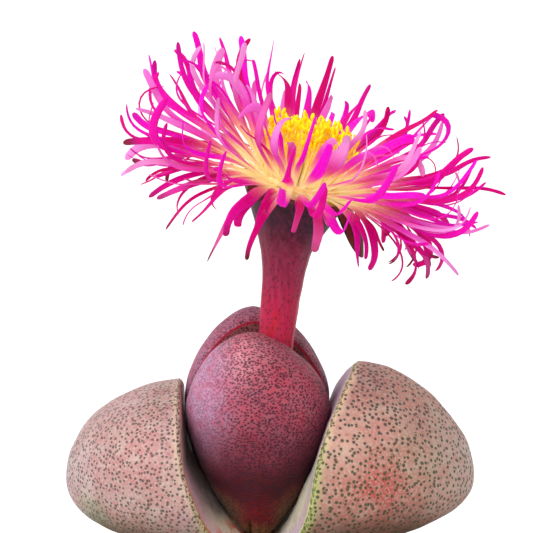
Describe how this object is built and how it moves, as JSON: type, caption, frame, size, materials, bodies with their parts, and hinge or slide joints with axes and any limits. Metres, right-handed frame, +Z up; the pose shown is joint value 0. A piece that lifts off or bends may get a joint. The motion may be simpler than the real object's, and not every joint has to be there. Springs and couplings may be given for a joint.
{
  "type": "potted split rock plant in flower",
  "caption": "Small clay pot with a stone-like succulent: paired domed leaves and a many-petalled flower on a thick stalk.",
  "frame": {"origin": "centre of the pot's underside, on the surface that the pot stands on", "axes": "+Z up, the longest extent; -Y is the front of the plant, where the inner leaf shows its back; +X is the side that the flower tips towards"},
  "size_m": [0.084, 0.084, 0.1738],
  "materials": {
    "terracotta": "matte unglazed clay",
    "potting_mix": "rough",
    "grit": "rough",
    "crown": "satin",
    "outer_leaf": "waxy matte, with grey-green dots",
    "inner_leaf": "waxy matte, with fine grey dots",
    "stalk": "satin",
    "petal": "satin, translucent",
    "stamen": "powdery",
    "stigma": "matte"
  },
  "bodies": {
    "root": {"pot": "terracotta", "soil": "potting_mix", "grit": "grit", "crown_and_root": "crown", "outer_leaf_left": "outer_leaf", "outer_leaf_right": "outer_leaf", "inner_leaf_front": "inner_leaf", "inner_leaf_back": "inner_leaf", "flower_stalk": "stalk", "petals": "petal", "stamens": "stamen", "stigmas": "stigma"}
  },
  "joints": []
}
